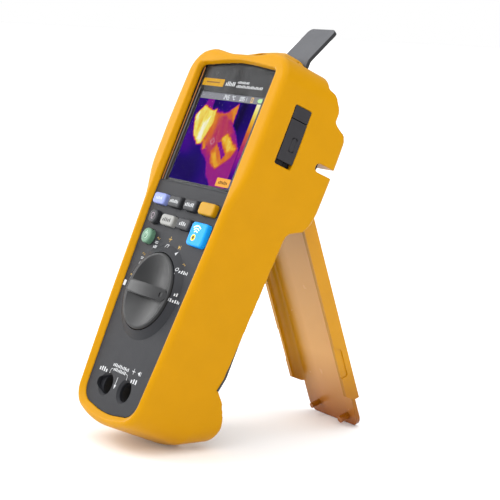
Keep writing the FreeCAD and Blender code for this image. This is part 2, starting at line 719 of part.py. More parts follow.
def hanging_strap():
    """A flat strap that rises behind the hump and then leans back, on a round eye for its pin."""
    y, z = STRAP_PIVOT
    lean = math.radians(STRAP_LEAN)
    front = y - 1.1
    back = front + STRAP_T
    tip_y = front + STRAP_LENGTH * math.sin(lean)
    tip_z = STRAP_KNEE + STRAP_LENGTH * math.cos(lean)
    web = side_prism(
        [(front, z, 0), (back, z, 0), (back, STRAP_KNEE - STRAP_T * math.tan(lean / 2), 2.5),
         (tip_y + STRAP_T * math.cos(lean), tip_z - STRAP_T * math.sin(lean), 0), (tip_y, tip_z, 0),
         (front, STRAP_KNEE, 4.5)],
        -STRAP_HALF, STRAP_HALF)
    tip_edges = [e for e in web.Edges
                 if abs(e.Vertexes[0].Point.x - e.Vertexes[-1].Point.x) < 1e-6
                 and min(v.Point.z for v in e.Vertexes) > tip_z - STRAP_T]
    web = web.makeFillet(3.0, tip_edges)
    eye = cross_rod(y, z, 2.2, STRAP_HALF)
    return web.fuse(eye).cut(cross_rod(y, z, 0.95, 20))


def strap_pin():
    y, z = STRAP_PIVOT
    return cross_rod(y, z, 0.9, 15.4)


def all_nodes():
    makers = [
        holster, front_case, rear_case, case_gasket, case_screws, display_window, display_mask,
        display_gasket, display_module, main_board, keypad_membrane, rotary_contact_plate,
        detent_spring, jack_insulators, jack_contacts, battery_pack, battery_contacts, battery_door,
        battery_door_screws, camera_board, camera_barrel, camera_lens, camera_bezel, wireless_board,
        buzzer, usb_socket, usb_cover_anchor, stand_hinge_pin, strap_pin, usb_cover, hanging_strap,
        switch_knob, knob_shaft, switch_rotor,
    ]
    nodes = {maker.__name__: maker() for maker in makers}
    nodes["kickstand"] = kickstand(floor_height(nodes["holster"]))
    for name, x, z, width, height, radius in BUTTONS:
        nodes[name] = button(x, z, width, height, radius)
    return nodes


def settle(nodes):
    """Opens the stand, leans every piece back and returns the shift onto the floor."""
    nodes["kickstand"].rotate(V(0, HINGE_Y, HINGE_Z), V(1, 0, 0), STAND_OPEN)
    for shape in nodes.values():
        shape.rotate(V(0, 0, 0), V(1, 0, 0), -LEAN)
    bounds = Part.makeCompound(list(nodes.values())).optimalBoundingBox(False, False)
    shift = V(0, -(bounds.YMin + bounds.YMax) / 2, -bounds.ZMin)
    for shape in nodes.values():
        shape.translate(shift)
    print("size", bounds.XLength, bounds.YLength, bounds.ZLength)
    return shift


def main():
    os.makedirs("parts", exist_ok=True)
    nodes = all_nodes()
    shift = settle(nodes)
    print("shift", shift)
    for name, shape in nodes.items():
        solids = len(shape.Solids)
        print(name, "solids", solids, "valid", shape.isValid(), "volume", round(shape.Volume))
        shape.exportStep("parts/" + name + ".step")


main()
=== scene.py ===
import json
import math

import bmesh
import bpy
import numpy as np
from mathutils import Matrix, Vector


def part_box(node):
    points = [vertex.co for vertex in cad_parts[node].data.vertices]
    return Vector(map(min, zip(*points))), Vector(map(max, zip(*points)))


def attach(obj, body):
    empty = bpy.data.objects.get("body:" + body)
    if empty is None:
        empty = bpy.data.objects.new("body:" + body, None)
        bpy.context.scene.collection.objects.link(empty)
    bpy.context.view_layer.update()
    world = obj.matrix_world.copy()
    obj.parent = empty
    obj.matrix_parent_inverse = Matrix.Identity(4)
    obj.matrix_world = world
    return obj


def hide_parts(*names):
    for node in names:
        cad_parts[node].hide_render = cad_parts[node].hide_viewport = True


# Looks of a handheld thermal multimeter in its yellow holster, leaning back on its kickstand.
# Sizes are millimetres in the meter's own upright frame: x to the right, y from the front rim to the
# back, z up along the meter. METER turns them into the row frame.

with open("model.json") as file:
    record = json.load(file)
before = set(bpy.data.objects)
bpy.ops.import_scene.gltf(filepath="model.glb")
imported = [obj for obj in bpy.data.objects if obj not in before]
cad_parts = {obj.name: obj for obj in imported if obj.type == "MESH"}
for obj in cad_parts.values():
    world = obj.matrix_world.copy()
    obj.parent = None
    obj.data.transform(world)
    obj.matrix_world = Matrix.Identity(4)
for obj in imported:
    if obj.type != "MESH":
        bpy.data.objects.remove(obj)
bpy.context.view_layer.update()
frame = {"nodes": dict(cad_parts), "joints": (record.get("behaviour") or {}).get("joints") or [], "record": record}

MM = 0.001
NODES = frame["nodes"]
JOINTS = {joint["name"]: joint for joint in frame["joints"]}
RECORD = frame["record"]

KNOB_Z = 72.6
DIAL_RING = (0.3, 21.6, 26.0)
PANEL_Y = 2.6
SCREEN_Y = 4.5
PICTURE_Y = SCREEN_Y - 0.06
SCREEN_HALF = 29.4
SCREEN_Z = (133.9, 184.1)
BUTTON_FRONT = -0.4
WINDOW_Y = 3.4
HEADER_Y = 4.1
HEADER_Z = 189.6
TOP_KEYS_Z = 121.2
MIDDLE_KEYS_Z = 110.8
AIM = (-1.6, 157.4)
SOFT_KEY = (22.2, 136.9)
BADGE_X = -21.8
RADIO = (22.3, 105.3)
POWER = (-21.9, 100.2)
LAMP = (-22.6, 111.5)
BACK_STRIP_X = 34.9


def meter_matrix():
    """Meter millimetres to the row frame, from where the knob turns and which way it faces."""
    turn = JOINTS["knob_turn"]
    right = Vector((1, 0, 0))
    depth = -Vector(turn["axis"]).normalized()
    up = right.cross(depth)
    origin = Vector(turn["pos_m"]) - up * KNOB_Z * MM
    matrix = Matrix((right * MM, depth * MM, up * MM)).transposed().to_4x4()
    matrix.translation = origin
    return matrix


METER = meter_matrix()


def panel_y(x, z):
    """The front of the panel at a place: a low cone rises round the knob."""
    front, inner, outer = DIAL_RING
    rise = (outer - math.hypot(x, z - KNOB_Z)) / (outer - inner)
    return PANEL_Y - (PANEL_Y - front) * min(1.0, max(0.0, rise))


# ---------------------------------------------------------------- materials

def linear(red, green, blue):
    """A screen colour from 0 to 255 as the linear colour that shaders take."""
    parts = [value / 255 for value in (red, green, blue)]
    return tuple(p / 12.92 if p <= 0.04045 else ((p + 0.055) / 1.055) ** 2.4 for p in parts) + (1.0,)


def shade(colour, factor):
    """A colour made darker or lighter."""
    return tuple(min(1.0, value * factor) for value in colour[:3]) + (1.0,)


class Look:
    """A material in the making: one Principled shader and the nodes that feed it."""

    def __init__(self, name, **sockets):
        self.material = bpy.data.materials.new(name)
        self.material.use_nodes = True
        self.tree = self.material.node_tree
        self.shader = self.tree.nodes["Principled BSDF"]
        surface = self.tree.nodes.new("ShaderNodeTexCoord").outputs
        self.place = surface["Object"]
        self.facing = surface["Normal"]
        for socket, value in sockets.items():
            self.shader.inputs[socket.replace("_", " ")].default_value = value

    def link(self, output, target):
        """Joins an output to one of the shader's sockets by name, or to any other socket."""
        socket = self.shader.inputs[target] if isinstance(target, str) else target
        self.tree.links.new(output, socket)

    def feed(self, value, socket):
        """Gives a socket an output to follow, or a plain value."""
        if isinstance(value, bpy.types.NodeSocket):
            self.link(value, socket)
        else:
            socket.default_value = value

    def noise(self, size_mm, detail=3.0, stretch=None):
        """A cloud pattern with features of about that size."""
        node = self.tree.nodes.new("ShaderNodeTexNoise")
        node.inputs["Scale"].default_value = 1 / (size_mm * MM)
        node.inputs["Detail"].default_value = detail
        self.link(self.stretched(stretch), node.inputs["Vector"])
        return node.outputs["Fac"]

    def stretched(self, stretch):
        """The place on the surface, drawn out along some axes."""
        if stretch is None:
            return self.place
        node = self.tree.nodes.new("ShaderNodeMapping")
        node.inputs["Scale"].default_value = stretch
        self.link(self.place, node.inputs["Vector"])
        return node.outputs["Vector"]

    def cells(self, size_mm):
        """Distance to the middle of the nearest cell of about that size."""
        node = self.tree.nodes.new("ShaderNodeTexVoronoi")
        node.inputs["Scale"].default_value = 1 / (size_mm * MM)
        self.link(self.place, node.inputs["Vector"])
        return node.outputs["Distance"]

    def ramp(self, factor, stops):
        """Colours along a factor, from a list of place and colour."""
        node = self.tree.nodes.new("ShaderNodeValToRGB")
        points = node.color_ramp.elements
        while len(points) < len(stops):
            points.new(0.5)
        for point, (where, colour) in zip(points, stops):
            point.position = where
            point.color = colour
        self.link(factor, node.inputs["Fac"])
        return node.outputs["Color"]

    def combine(self, operation, *values):
        """One sum, product or other operation on outputs."""
        node = self.tree.nodes.new("ShaderNodeMath")
        node.operation = operation
        for value, socket in zip(values, node.inputs):
            self.link(value, socket)
        return node.outputs["Value"]

    def axes(self, vector):
        """The X, Y and Z of a vector."""
        node = self.tree.nodes.new("ShaderNodeSeparateXYZ")
        self.link(vector, node.inputs["Vector"])
        return node.outputs

    def blend(self, kind, factor, colour):
        """Mixes or multiplies the base colour with another, by a factor."""
        node = self.tree.nodes.new("ShaderNodeMix")
        node.data_type = "RGBA"
        node.blend_type = kind
        self.feed(factor, node.inputs["Factor"])
        self.feed(colour, node.inputs["B"])
        self.link(self.shader.inputs["Base Color"].links[0].from_socket, node.inputs["A"])
        self.link(node.outputs["Result"], "Base Color")

    def remap(self, factor, low, high, start=0.0, end=1.0):
        """Runs from low to high while the factor runs from start to end, and stays there outside."""
        node = self.tree.nodes.new("ShaderNodeMapRange")
        node.inputs["From Min"].default_value = start
        node.inputs["From Max"].default_value = end
        node.inputs["To Min"].default_value = low
        node.inputs["To Max"].default_value = high
        self.link(factor, node.inputs["Value"])
        return node.outputs["Result"]

    def bump(self, height, depth_mm, strength=1.0):
        """Raises the surface by a height pattern, on top of any bump made before."""
        node = self.tree.nodes.new("ShaderNodeBump")
        node.inputs["Distance"].default_value = depth_mm * MM
        node.inputs["Strength"].default_value = strength
        self.link(height, node.inputs["Height"])
        socket = self.shader.inputs["Normal"]
        if socket.links:
            self.link(socket.links[0].from_socket, node.inputs["Normal"])
        self.link(node.outputs["Normal"], socket)


def moulded(name, colour, roughness, grain_mm, depth_mm, mottle=0.06, **sockets):
    """Moulded plastic or rubber: a fine grain, uneven gloss and slight cloudiness in its colour."""
    look = Look(name, **sockets)
    cloud = look.noise(14.0, 4.0)
    tones = [(0.25, shade(colour, 1 - mottle)), (0.75, shade(colour, 1 + mottle))]
    look.link(look.ramp(cloud, tones), "Base Color")
    look.link(look.remap(look.noise(5.0, 5.0), roughness - 0.06, roughness + 0.06), "Roughness")
    look.bump(look.noise(grain_mm, 2.0), depth_mm)
    return look


def holster_rubber():
    colour = linear(191, 135, 0)
    look = moulded("holster rubber", colour, 0.36, 0.55, 0.03, 0.03, Specular_IOR_Level=0.09)
    look.bump(look.noise(9.0, 2.0), 0.08, 0.5)
    return look


def stand_plastic():
    colour = linear(193, 134, 0)
    look = moulded("stand plastic", colour, 0.25, 0.9, 0.012, 0.03, Specular_IOR_Level=0.3)
    look.bump(look.noise(16.0, 1.0), 0.06, 0.5)
    # Painted sheen on the inner web and painted shade at the foot.
    paint_web_sheen_and_foot_shade(look)
    return look


# Where the painted sheen on the stand's inner web falls, and how high the painted shade at its foot reaches.
SHEEN_LEFT = (-20.0, -6.0)
SHEEN_RIGHT = (21.5, 22.5)
SHEEN_FACING = (-0.8, -0.5)
FOOT_SHADE_HEIGHT = 40.0


def paint_web_sheen_and_foot_shade(look):
    """Painted light on the stand: a painted sheen makes the inner web paler towards its right rail, standing in
    for a reflection of the floor, and painted shade darkens the stand towards its foot.
    """
    place = look.axes(look.place)
    left = look.remap(place["X"], 0, 1, SHEEN_LEFT[0] * MM, SHEEN_LEFT[1] * MM)
    right = look.remap(place["X"], 1, 0, SHEEN_RIGHT[0] * MM, SHEEN_RIGHT[1] * MM)
    front = look.remap(look.axes(look.facing)["Y"], 1, 0, *SHEEN_FACING)
    web_sheen = look.combine("MULTIPLY", look.combine("MULTIPLY", left, right), front)
    # Painted sheen: the web is mixed towards a pale tan that stands in for a reflection.
    look.blend("MIX", web_sheen, linear(226, 168, 92))
    # Painted shade: the colour is multiplied darker towards the foot.
    foot = look.remap(place["Z"], 1, 0, 0, FOOT_SHADE_HEIGHT * MM)
    look.blend("MULTIPLY", foot, linear(166, 122, 60))


def case_plastic():
    colour = linear(36, 37, 41)
    look = moulded("case plastic", colour, 0.48, 0.35, 0.03, 0.05, Specular_IOR_Level=0.2)
    specks = look.ramp(look.cells(0.5), [(0.05, (1, 1, 1, 1)), (0.25, (0, 0, 0, 1))])
    look.bump(specks, 0.012)
    return look


def knob_plastic():
    colour = linear(16, 17, 19)
    return moulded("knob plastic", colour, 0.4, 0.4, 0.015, 0.04, Specular_IOR_Level=0.32)


def key(name, colour, glow=0.0):
    """A soft key cap, which may be lit from behind."""
    look = moulded(name, colour, 0.42, 0.3, 0.015, 0.05, Specular_IOR_Level=0.25)
    if glow > 0:
        look.shader.inputs["Emission Color"].default_value = colour
        look.shader.inputs["Emission Strength"].default_value = glow
    return look


def strap_rubber():
    """A flat grey face with fine ribs across it, and painted shade on the cut edges that face left or right."""
    look = moulded("strap rubber", linear(76, 78, 83), 0.5, 0.5, 0.03, 0.08)
    across = look.tree.nodes.new("ShaderNodeTexWave")
    across.bands_direction = "X"
    across.inputs["Scale"].default_value = 320.0
    across.inputs["Distortion"].default_value = 0.6
    look.link(look.place, across.inputs["Vector"])
    look.bump(across.outputs["Fac"], 0.05)
    paint_side_shade(look)
    return look


def paint_side_shade(look):
    """Painted shade: cut edges that face left or right are darker than the flat face."""
    sideways = look.combine("ABSOLUTE", look.axes(look.facing)["X"])
    tones = look.ramp(sideways, [(0.35, (1, 1, 1, 1)), (0.75, (0.12, 0.12, 0.13, 1))])
    # Painted shade: the base colour is multiplied darker where the surface faces sideways.
    look.blend("MULTIPLY", 1.0, tones)


def soft_rubber(name, colour):
    return moulded(name, colour, 0.62, 0.4, 0.03, 0.06)


def clear(name, colour, alpha, roughness, shine):
    """A clear cover with faint smears in its gloss."""
    look = Look(name, Base_Color=colour, Alpha=alpha, IOR=1.5, Specular_IOR_Level=shine)
    look.link(look.remap(look.noise(18.0, 5.0), roughness, roughness + 0.08), "Roughness")
    return look


def printed_black():
    return moulded("printed mask", linear(36, 37, 40), 0.3, 0.8, 0.006, 0.05)


def circuit_board():
    """Green solder mask with lighter raised tracks."""
    look = Look("circuit board", Roughness=0.35)
    ground = linear(14, 70, 38)
    pattern = look.noise(2.5, 1.0, (1, 1, 0.15))
    tracks = look.ramp(pattern, [(0.46, ground), (0.5, linear(34, 110, 62)), (0.54, ground)])
    look.link(tracks, "Base Color")
    look.bump(pattern, 0.04)
    return look


def metal(name, colour, roughness, stretch):
    """Drawn or turned metal with fine lines along it."""
    look = Look(name, Metallic=1.0)
    lines = look.noise(0.6, 4.0, stretch)
    look.link(look.ramp(lines, [(0.3, shade(colour, 0.85)), (0.7, colour)]), "Base Color")
    look.link(look.remap(lines, roughness - 0.08, roughness + 0.08), "Roughness")
    look.bump(lines, 0.01)
    return look


def battery_wrap():
    """Blue shrink film in two tones, with slight creases."""
    look = Look("battery wrap", Roughness=0.3)
    pattern = look.noise(30.0, 0.0, (0.2, 0.2, 1))
    bands = look.ramp(pattern, [(0.45, linear(30, 62, 150)), (0.55, linear(18, 36, 92))])
    look.link(bands, "Base Color")
    look.bump(look.noise(3.0, 2.0), 0.05)
    return look


def display_screen():
    """The lit panel behind the picture."""
    look = Look("display screen", Roughness=0.25)
    dots = look.ramp(look.cells(0.25), [(0.2, linear(40, 40, 60)), (0.6, linear(14, 12, 24))])
    look.link(dots, "Base Color")
    return look


def paint(name, colour):
    """Printed or moulded-in marks, slightly uneven in cover."""
    look = Look(name, Roughness=0.5, Specular_IOR_Level=0.15)
    cover = look.ramp(look.noise(0.9, 3.0), [(0.3, shade(colour, 0.8)), (0.6, colour)])
    look.link(cover, "Base Color")
    return look


def lit(name, colour, strength):
    """Something shown on the display: it glows, with the slight unevenness of a screen."""
    look = Look(name, Roughness=0.4, Specular_IOR_Level=0.0)
    tones = look.ramp(look.noise(1.5, 2.0), [(0.3, shade(colour, 0.88)), (0.7, colour)])
    look.link(tones, "Base Color")
    look.link(tones, "Emission Color")
    look.shader.inputs["Emission Strength"].default_value = strength
    return look


HEAT_COLOURS = [
    (0.00, linear(12, 6, 40)), (0.14, linear(30, 6, 110)), (0.28, linear(70, 4, 140)),
    (0.42, linear(138, 22, 140)), (0.55, linear(178, 48, 96)), (0.68, linear(214, 104, 40)),
    (0.80, linear(236, 178, 40)), (0.90, linear(244, 232, 110)), (1.00, linear(252, 250, 226)),
]


def heat_picture():
    """False colours for the temperature stored at each point of the picture."""
    dark = (0.002, 0.001, 0.006, 1)
    look = Look("heat picture", Roughness=0.4, Specular_IOR_Level=0.0, Base_Color=dark)
    store = look.tree.nodes.new("ShaderNodeAttribute")
    store.attribute_name = "warmth"
    colours = look.ramp(store.outputs["Fac"], HEAT_COLOURS)
    look.link(colours, "Emission Color")
    look.shader.inputs["Emission Strength"].default_value = 0.95
    return look


AMBER = linear(180, 134, 0)
WHITE = linear(204, 206, 208)

LOOKS = {
    "holster_rubber": holster_rubber(),
    "stand_plastic": stand_plastic(),
    "case_plastic": case_plastic(),
    "knob_plastic": knob_plastic(),
    "seal_rubber": soft_rubber("seal rubber", linear(26, 26, 27)),
    "membrane_rubber": soft_rubber("membrane rubber", linear(150, 150, 146)),
    "clear_window": clear("clear window", linear(60, 62, 66), 0.015, 0.05, 0.08),
    "lens_glass": clear("lens glass", linear(60, 52, 84), 0.75, 0.04, 0.3),
    "black_mask": printed_black(),
    "display_screen": display_screen(),
    "circuit_board": circuit_board(),
    "contact_brass": metal("contact brass", linear(214, 178, 104), 0.3, (1, 0.1, 1)),
    "inner_plastic": moulded("inner plastic", linear(34, 35, 37), 0.45, 0.5, 0.02),
    "plain_steel": metal("plain steel", linear(190, 192, 196), 0.32, (0.1, 1, 1)),
    "black_aluminium": metal("black aluminium", linear(44, 45, 48), 0.35, (1, 0.1, 1)),
    "battery_wrap": battery_wrap(),
    "cover_rubber": soft_rubber("cover rubber", linear(24, 22, 28)),
    "strap_rubber": strap_rubber(),
    "key_lavender": key("lavender key", linear(136, 148, 208)),
    "key_dark": key("dark key", linear(48, 49, 52)),
    "key_yellow": key("yellow key", AMBER),
    "key_pale": key("pale key", linear(152, 152, 149)),
    "key_blue": key("blue key", linear(14, 140, 225), 0.35),
    "key_green": key("green key", linear(98, 136, 112)),
}
WHITE_PAINT = paint("white marks", WHITE)
AMBER_PAINT = paint("amber marks", linear(196, 160, 84))
DARK_PAINT = paint("dark marks", linear(48, 48, 50))
BADGE_PAINT = paint("badge ground", AMBER)


def dress_nodes():
    """Gives each CAD node the look of its slot in the record."""
    for part in RECORD["subparts"]:
        data = NODES[part["node"]].data
        data.materials.clear()
        data.materials.append(LOOKS[part["material_slot"]].material)


# ---------------------------------------------------------------- pieces

def add_piece(name, mesh, look, body):
    """A mesh in the row frame becomes a piece that moves with a CAD body."""
    mesh.materials.clear()
    mesh.materials.append(look.material)
    piece = bpy.data.objects.new(name, mesh)
    bpy.context.scene.collection.objects.link(piece)
    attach(piece, body)
    return piece


def add_solids(name, pairs, look, body):
    """Flat raised plates, each from its outer and inner ring of corners in meter millimetres."""
    bm = bmesh.new()
    for outer, inner in pairs:
        top = [bm.verts.new(corner) for corner in outer]
        foot = [bm.verts.new(corner) for corner in inner]
        bm.faces.new(top)
        for i in range(len(top)):
            bm.faces.new((top[i - 1], top[i], foot[i], foot[i - 1]))
    bmesh.ops.recalc_face_normals(bm, faces=bm.faces)
    bm.transform(METER)
    mesh = bpy.data.meshes.new(name)
    bm.to_mesh(mesh)
    bm.free()
    return add_piece(name, mesh, look, body)


def add_plates(name, outlines, y, height, look, body):
    """Plates on a face seen from the front, from outlines of x and z on a flat or panel-shaped face."""
    face = y if callable(y) else (lambda x, z: y)
    pairs = []
    for outline in outlines:
        outer = [(x, face(x, z) - height, z) for x, z in outline]
        inner = [(x, face(x, z) + height, z) for x, z in outline]
        pairs.append((outer, inner))
    return add_solids(name, pairs, look, body)


def add_side_plates(name, outlines, x, height, look, body):
    """Plates on a face seen from the right, from outlines of y and z."""
    pairs = []
    for outline in outlines:
        pairs.append(([(x + height, y, z) for y, z in outline], [(x - height, y, z) for y, z in outline]))
    return add_solids(name, pairs, look, body)


def bar(x, z, width, height):
    """The outline of an upright rectangle round a centre."""
    a = width / 2
    b = height / 2
    return [(x - a, z - b), (x + a, z - b), (x + a, z + b), (x - a, z + b)]


def rounded(x, z, width, height, radius):
    """The outline of a rounded rectangle round a centre."""
    points = []
    for turn in range(4):
        sx = (1, -1, -1, 1)[turn]
        sz = (1, 1, -1, -1)[turn]
        for step in range(7):
            angle = math.radians(90 * turn + 15 * step)
            points.append((x + sx * (width / 2 - radius) + radius * math.cos(angle),
                           z + sz * (height / 2 - radius) + radius * math.sin(angle)))
    return points


def disc(x, z, radius):
    """The outline of a round spot."""
    angles = [math.tau * i / 28 for i in range(28)]
    return [(x + radius * math.cos(a), z + radius * math.sin(a)) for a in angles]


def stroke(points, width):
    """Outlines of the straight strokes that join a list of points."""
    outlines = []
    for (x0, z0), (x1, z1) in zip(points, points[1:]):
        along = Vector((x1 - x0, z1 - z0)).normalized() * (width / 2)
        side = Vector((-along.y, along.x))
        start = Vector((x0, z0)) - along
        end = Vector((x1, z1)) + along
        corners = (start - side, end - side, end + side, start + side)
        outlines.append([tuple(c) for c in corners])
    return outlines


def arc(x, z, radius, start, end, steps=14):
    """Points along an arc, angles in degrees anticlockwise from the right."""
    angles = [math.radians(start + (end - start) * i / steps) for i in range(steps + 1)]
    return [(x + radius * math.cos(a), z + radius * math.sin(a)) for a in angles]


def wave(x, z, width, height):
    """Points along one full swing of a wave."""
    steps = [i / 12 for i in range(13)]
    return [(x + (t - 0.5) * width, z + height / 2 * math.sin(math.tau * t)) for t in steps]


def plain_row(x, z, width, height, count):
    """A row of plain blocks, tall and short by turns, where a caption would stand."""
    pitch = width / count
    blocks = []
    for i in range(count):
        tall = height if i % 3 else height * 0.72
        centre = x - width / 2 + pitch * (i + 0.5)
        blocks.append(bar(centre, z - (height - tall) / 2, pitch * 0.5, tall))
    return blocks


SEGMENTS = {
    "0": "abcdef", "1": "bc", "2": "abged", "3": "abgcd", "4": "fgbc",
    "5": "afgcd", "6": "afgedc", "7": "abc", "8": "abcdefg", "9": "abcdfg",
}


def digits(text, x, z, width, height, thick):
    """Seven-stroke digits from x to the right, and dots."""
    outlines = []
    for sign in text:
        if sign == ".":
            outlines.append(bar(x, z - height / 2, thick * 1.3, thick * 1.3))
            x += width * 0.45
            continue
        right = x + width
        top = z + height / 2
        foot = z - height / 2
        ends = {
            "a": ((x, top), (right, top)),
            "b": ((right, top), (right, z)),
            "c": ((right, z), (right, foot)),
            "d": ((x, foot), (right, foot)),
            "e": ((x, z), (x, foot)),
            "f": ((x, top), (x, z)),
            "g": ((x, z), (right, z)),
        }
        for segment in SEGMENTS[sign]:
            outlines += stroke(ends[segment], thick)
        x += width * 1.55
    return outlines


# ---------------------------------------------------------------- display

# The picture: shapes of one temperature each, as corners in x and z, with the width of their soft edge.
HEAT_SHAPES = [
    (0.08, 7.0, [(-30, 134), (-10, 134), (-14, 146), (-30, 148)]),
    (0.02, 3.0, [(13, 181), (18, 181), (17, 158), (12, 164)]),
    (0.40, 2.0, [(-21, 181), (-14, 181), (-14, 173), (-22, 174)]),
    (0.46, 1.6, [(-10, 152), (0, 146), (4, 139), (12, 133), (27, 133), (28, 152), (14, 166), (2, 172),
                 (-8, 170)]),
    (0.57, 5.0, [(-8, 171), (4, 173), (14, 164), (8, 154), (-2, 150), (-10, 157)]),
    (0.66, 2.2, [(-7, 173), (2, 174), (10, 179), (11, 168), (2, 172), (-8, 170)]),
    (0.72, 1.4, [(4, 175.5), (10, 179.5), (11, 168.5)]),
    (0.70, 2.4, [(0, 152), (9, 163), (23, 156), (20, 150), (10, 143), (3, 146)]),
    (0.82, 2.0, [(6, 160), (10, 162.6), (21, 155), (15, 153)]),
    (0.78, 1.6, [(2, 151), (5, 152), (12, 145), (9, 143.5)]),
    (0.40, 0.5, [(3.4, 157.2), (6.8, 158.0), (14.2, 151.2), (12.6, 148.6)]),
    (0.74, 1.4, [(-12, 158), (-9.6, 158), (-6.0, 153.4), (-7.6, 152.4)]),
    (0.69, 5.5, [(-10.0, 175.0), (-3.0, 173.0), (-3.6, 164.0), (-5.0, 156.0), (-10.0, 154.0)]),
    (0.88, 1.8, [(-27.2, 170.6), (-21.6, 176.8), (-17.5, 175.6), (-12, 174.4), (-9, 175.2), (-7.6, 168),
                 (-11.6, 155), (-16, 154.4), (-22.4, 159.8), (-25.6, 166)]),
    (0.99, 3.0, [(-18, 157), (-13.4, 157), (-12.6, 170), (-17, 167)]),
    (0.95, 1.6, [(-26.6, 170.4), (-23.8, 173.6), (-23.2, 168), (-25, 167)]),
    (0.84, 2.0, [(-19.6, 174), (-17, 174), (-20, 160), (-21.6, 162)]),
]
SCALE_X = 25.3
STATUS_Z = 180.3


def edge_distance(x, z, corners):
    """Distance from each point to a closed shape's edge, negative inside it."""
    nearest = np.full(x.shape, 1e9)
    inside = np.zeros(x.shape, bool)
    for i, (x1, z1) in enumerate(corners):
        x0, z0 = corners[i - 1]
        ex, ez = x1 - x0, z1 - z0
        along = np.clip(((x - x0) * ex + (z - z0) * ez) / (ex * ex + ez * ez), 0, 1)
        nearest = np.minimum(nearest, np.hypot(x - x0 - along * ex, z - z0 - along * ez))
        crosses = (z0 > z) != (z1 > z)
        reach = x0 + (z - z0) * ex / (ez if ez else 1e-9)
        inside ^= crosses & (x < reach)
    return np.where(inside, -nearest, nearest)


def heat_at(x, z):
    """The picture's temperature, from 0 to 1, at each point."""
    wobble = 0.5 * np.sin(1.3 * x + 0.7 * z) + 0.4 * np.sin(2.1 * z - 0.9 * x) + 0.25 * np.sin(3.7 * x)
    heat = 0.16 + 0.05 * np.sin(0.21 * x + 1.0) + 0.04 * np.sin(0.17 * z)
    for value, softness, corners in HEAT_SHAPES:
        distance = edge_distance(x + 0.35 * wobble, z + 0.3 * wobble, corners)
        cover = np.clip(0.5 - distance / softness, 0, 1)
        cover = cover * cover * (3 - 2 * cover)
        heat = heat * (1 - cover) + value * cover
    streaks = 0.035 * np.sin(1.1 * x + 0.35 * z + wobble) + 0.015 * np.sin(2.6 * x - 0.5 * z)
    heat = np.clip(heat + streaks * np.clip(heat - 0.3, 0, 1), 0, 1)
    scale = np.clip((z - SCREEN_Z[0]) / (STATUS_Z - SCREEN_Z[0]), 0, 1) * 0.86 + 0.12
    return np.where(x > SCALE_X, scale, heat)


def add_picture():
    """The lit picture: a fine sheet just in front of the display module."""
    step = 0.3
    xs = np.append(np.arange(-SCREEN_HALF, SCREEN_HALF, step), SCREEN_HALF)
    zs = np.append(np.arange(SCREEN_Z[0], STATUS_Z, step), STATUS_Z)
    grid_x, grid_z = np.meshgrid(xs, zs)
    points = np.stack([grid_x, np.full(grid_x.shape, PICTURE_Y), grid_z], -1).reshape(-1, 3)
    width = len(xs)
    faces = []
    for row in range(len(zs) - 1):
        for column in range(width - 1):
            corner = row * width + column
            faces.append((corner, corner + 1, corner + 1 + width, corner + width))
    mesh = bpy.data.meshes.new("heat_picture")
    mesh.from_pydata(points.tolist(), [], faces)
    mesh.transform(METER)
    store = mesh.attributes.new("warmth", "FLOAT", "POINT")
    store.data.foreach_set("value", heat_at(grid_x, grid_z).astype(np.float32).ravel())
    add_piece("heat_picture", mesh, heat_picture(), "meter")


def add_display_marks():
    """Status bar, readings, icons, aiming mark, colour scale edge and soft key on the display."""
    face = PICTURE_Y
    middle = (STATUS_Z + SCREEN_Z[1]) / 2
    bar_height = SCREEN_Z[1] - STATUS_Z
    add_plates("status_bar", [bar(0, middle, 2 * SCREEN_HALF, bar_height)], face, 0.03,
               lit("status grey", linear(104, 105, 110), 0.45), "meter")
    pale = lit("reading white", linear(190, 194, 196), 0.38)
    readings = digits("24.5", -6.6, middle, 1.05, 2.1, 0.32)
    readings += stroke(arc(1.5, middle + 0.7, 0.4, 0, 360, 10), 0.25)
    readings += stroke(arc(3.2, middle, 0.95, 50, 310), 0.32)
    readings += digits("095", 8.6, middle, 1.0, 2.0, 0.3)
    readings += stroke([(14.6, middle - 1.0), (14.6, middle + 1.0)], 0.3)
    add_plates("status_readings", readings, face - 0.06, 0.02, pale, "meter")
    lamp = stroke([(19.0, middle - 1.2), (20.6, middle - 1.2), (20.6, middle + 1.2), (19.0, middle + 1.2),
                   (19.0, middle - 1.2)], 0.34)
    add_plates("status_icon", lamp, face - 0.06, 0.02,
               lit("icon amber", linear(206, 168, 92), 0.5), "meter")
    cell = [rounded(27.2, middle, 3.4, 2.3, 0.8), bar(25.2, middle, 0.7, 1.2)]
    add_plates("charge_icon", cell, face - 0.06, 0.02,
               lit("charge green", linear(150, 186, 134), 0.35), "meter")
    x, z = AIM
    aim = stroke(arc(x, z, 1.5, 0, 360, 20), 0.18)
    for turn in range(4):
        dx = (1, 0, -1, 0)[turn]
        dz = (0, 1, 0, -1)[turn]
        aim += stroke([(x + 1.2 * dx, z + 1.2 * dz), (x + 2.3 * dx, z + 2.3 * dz)], 0.18)
    add_plates("aiming_mark", aim, face - 0.03, 0.02,
               lit("aim grey", linear(176, 140, 158), 0.5), "meter")
    edge = stroke([(SCALE_X, SCREEN_Z[0]), (SCALE_X, STATUS_Z)], 0.3)
    add_plates("scale_edge", edge, face - 0.03, 0.02,
               lit("scale edge", linear(40, 12, 80), 0.4), "meter")
    add_plates("soft_key", [rounded(*SOFT_KEY, 12.6, 4.6, 0.5)], face - 0.03, 0.03,
               lit("soft key amber", linear(200, 142, 64), 0.28), "meter")
    add_plates("soft_key_mark", plain_row(*SOFT_KEY, 8.4, 1.7, 7), face - 0.08, 0.02,
               lit("soft key grey", linear(56, 42, 28), 0.2), "meter")


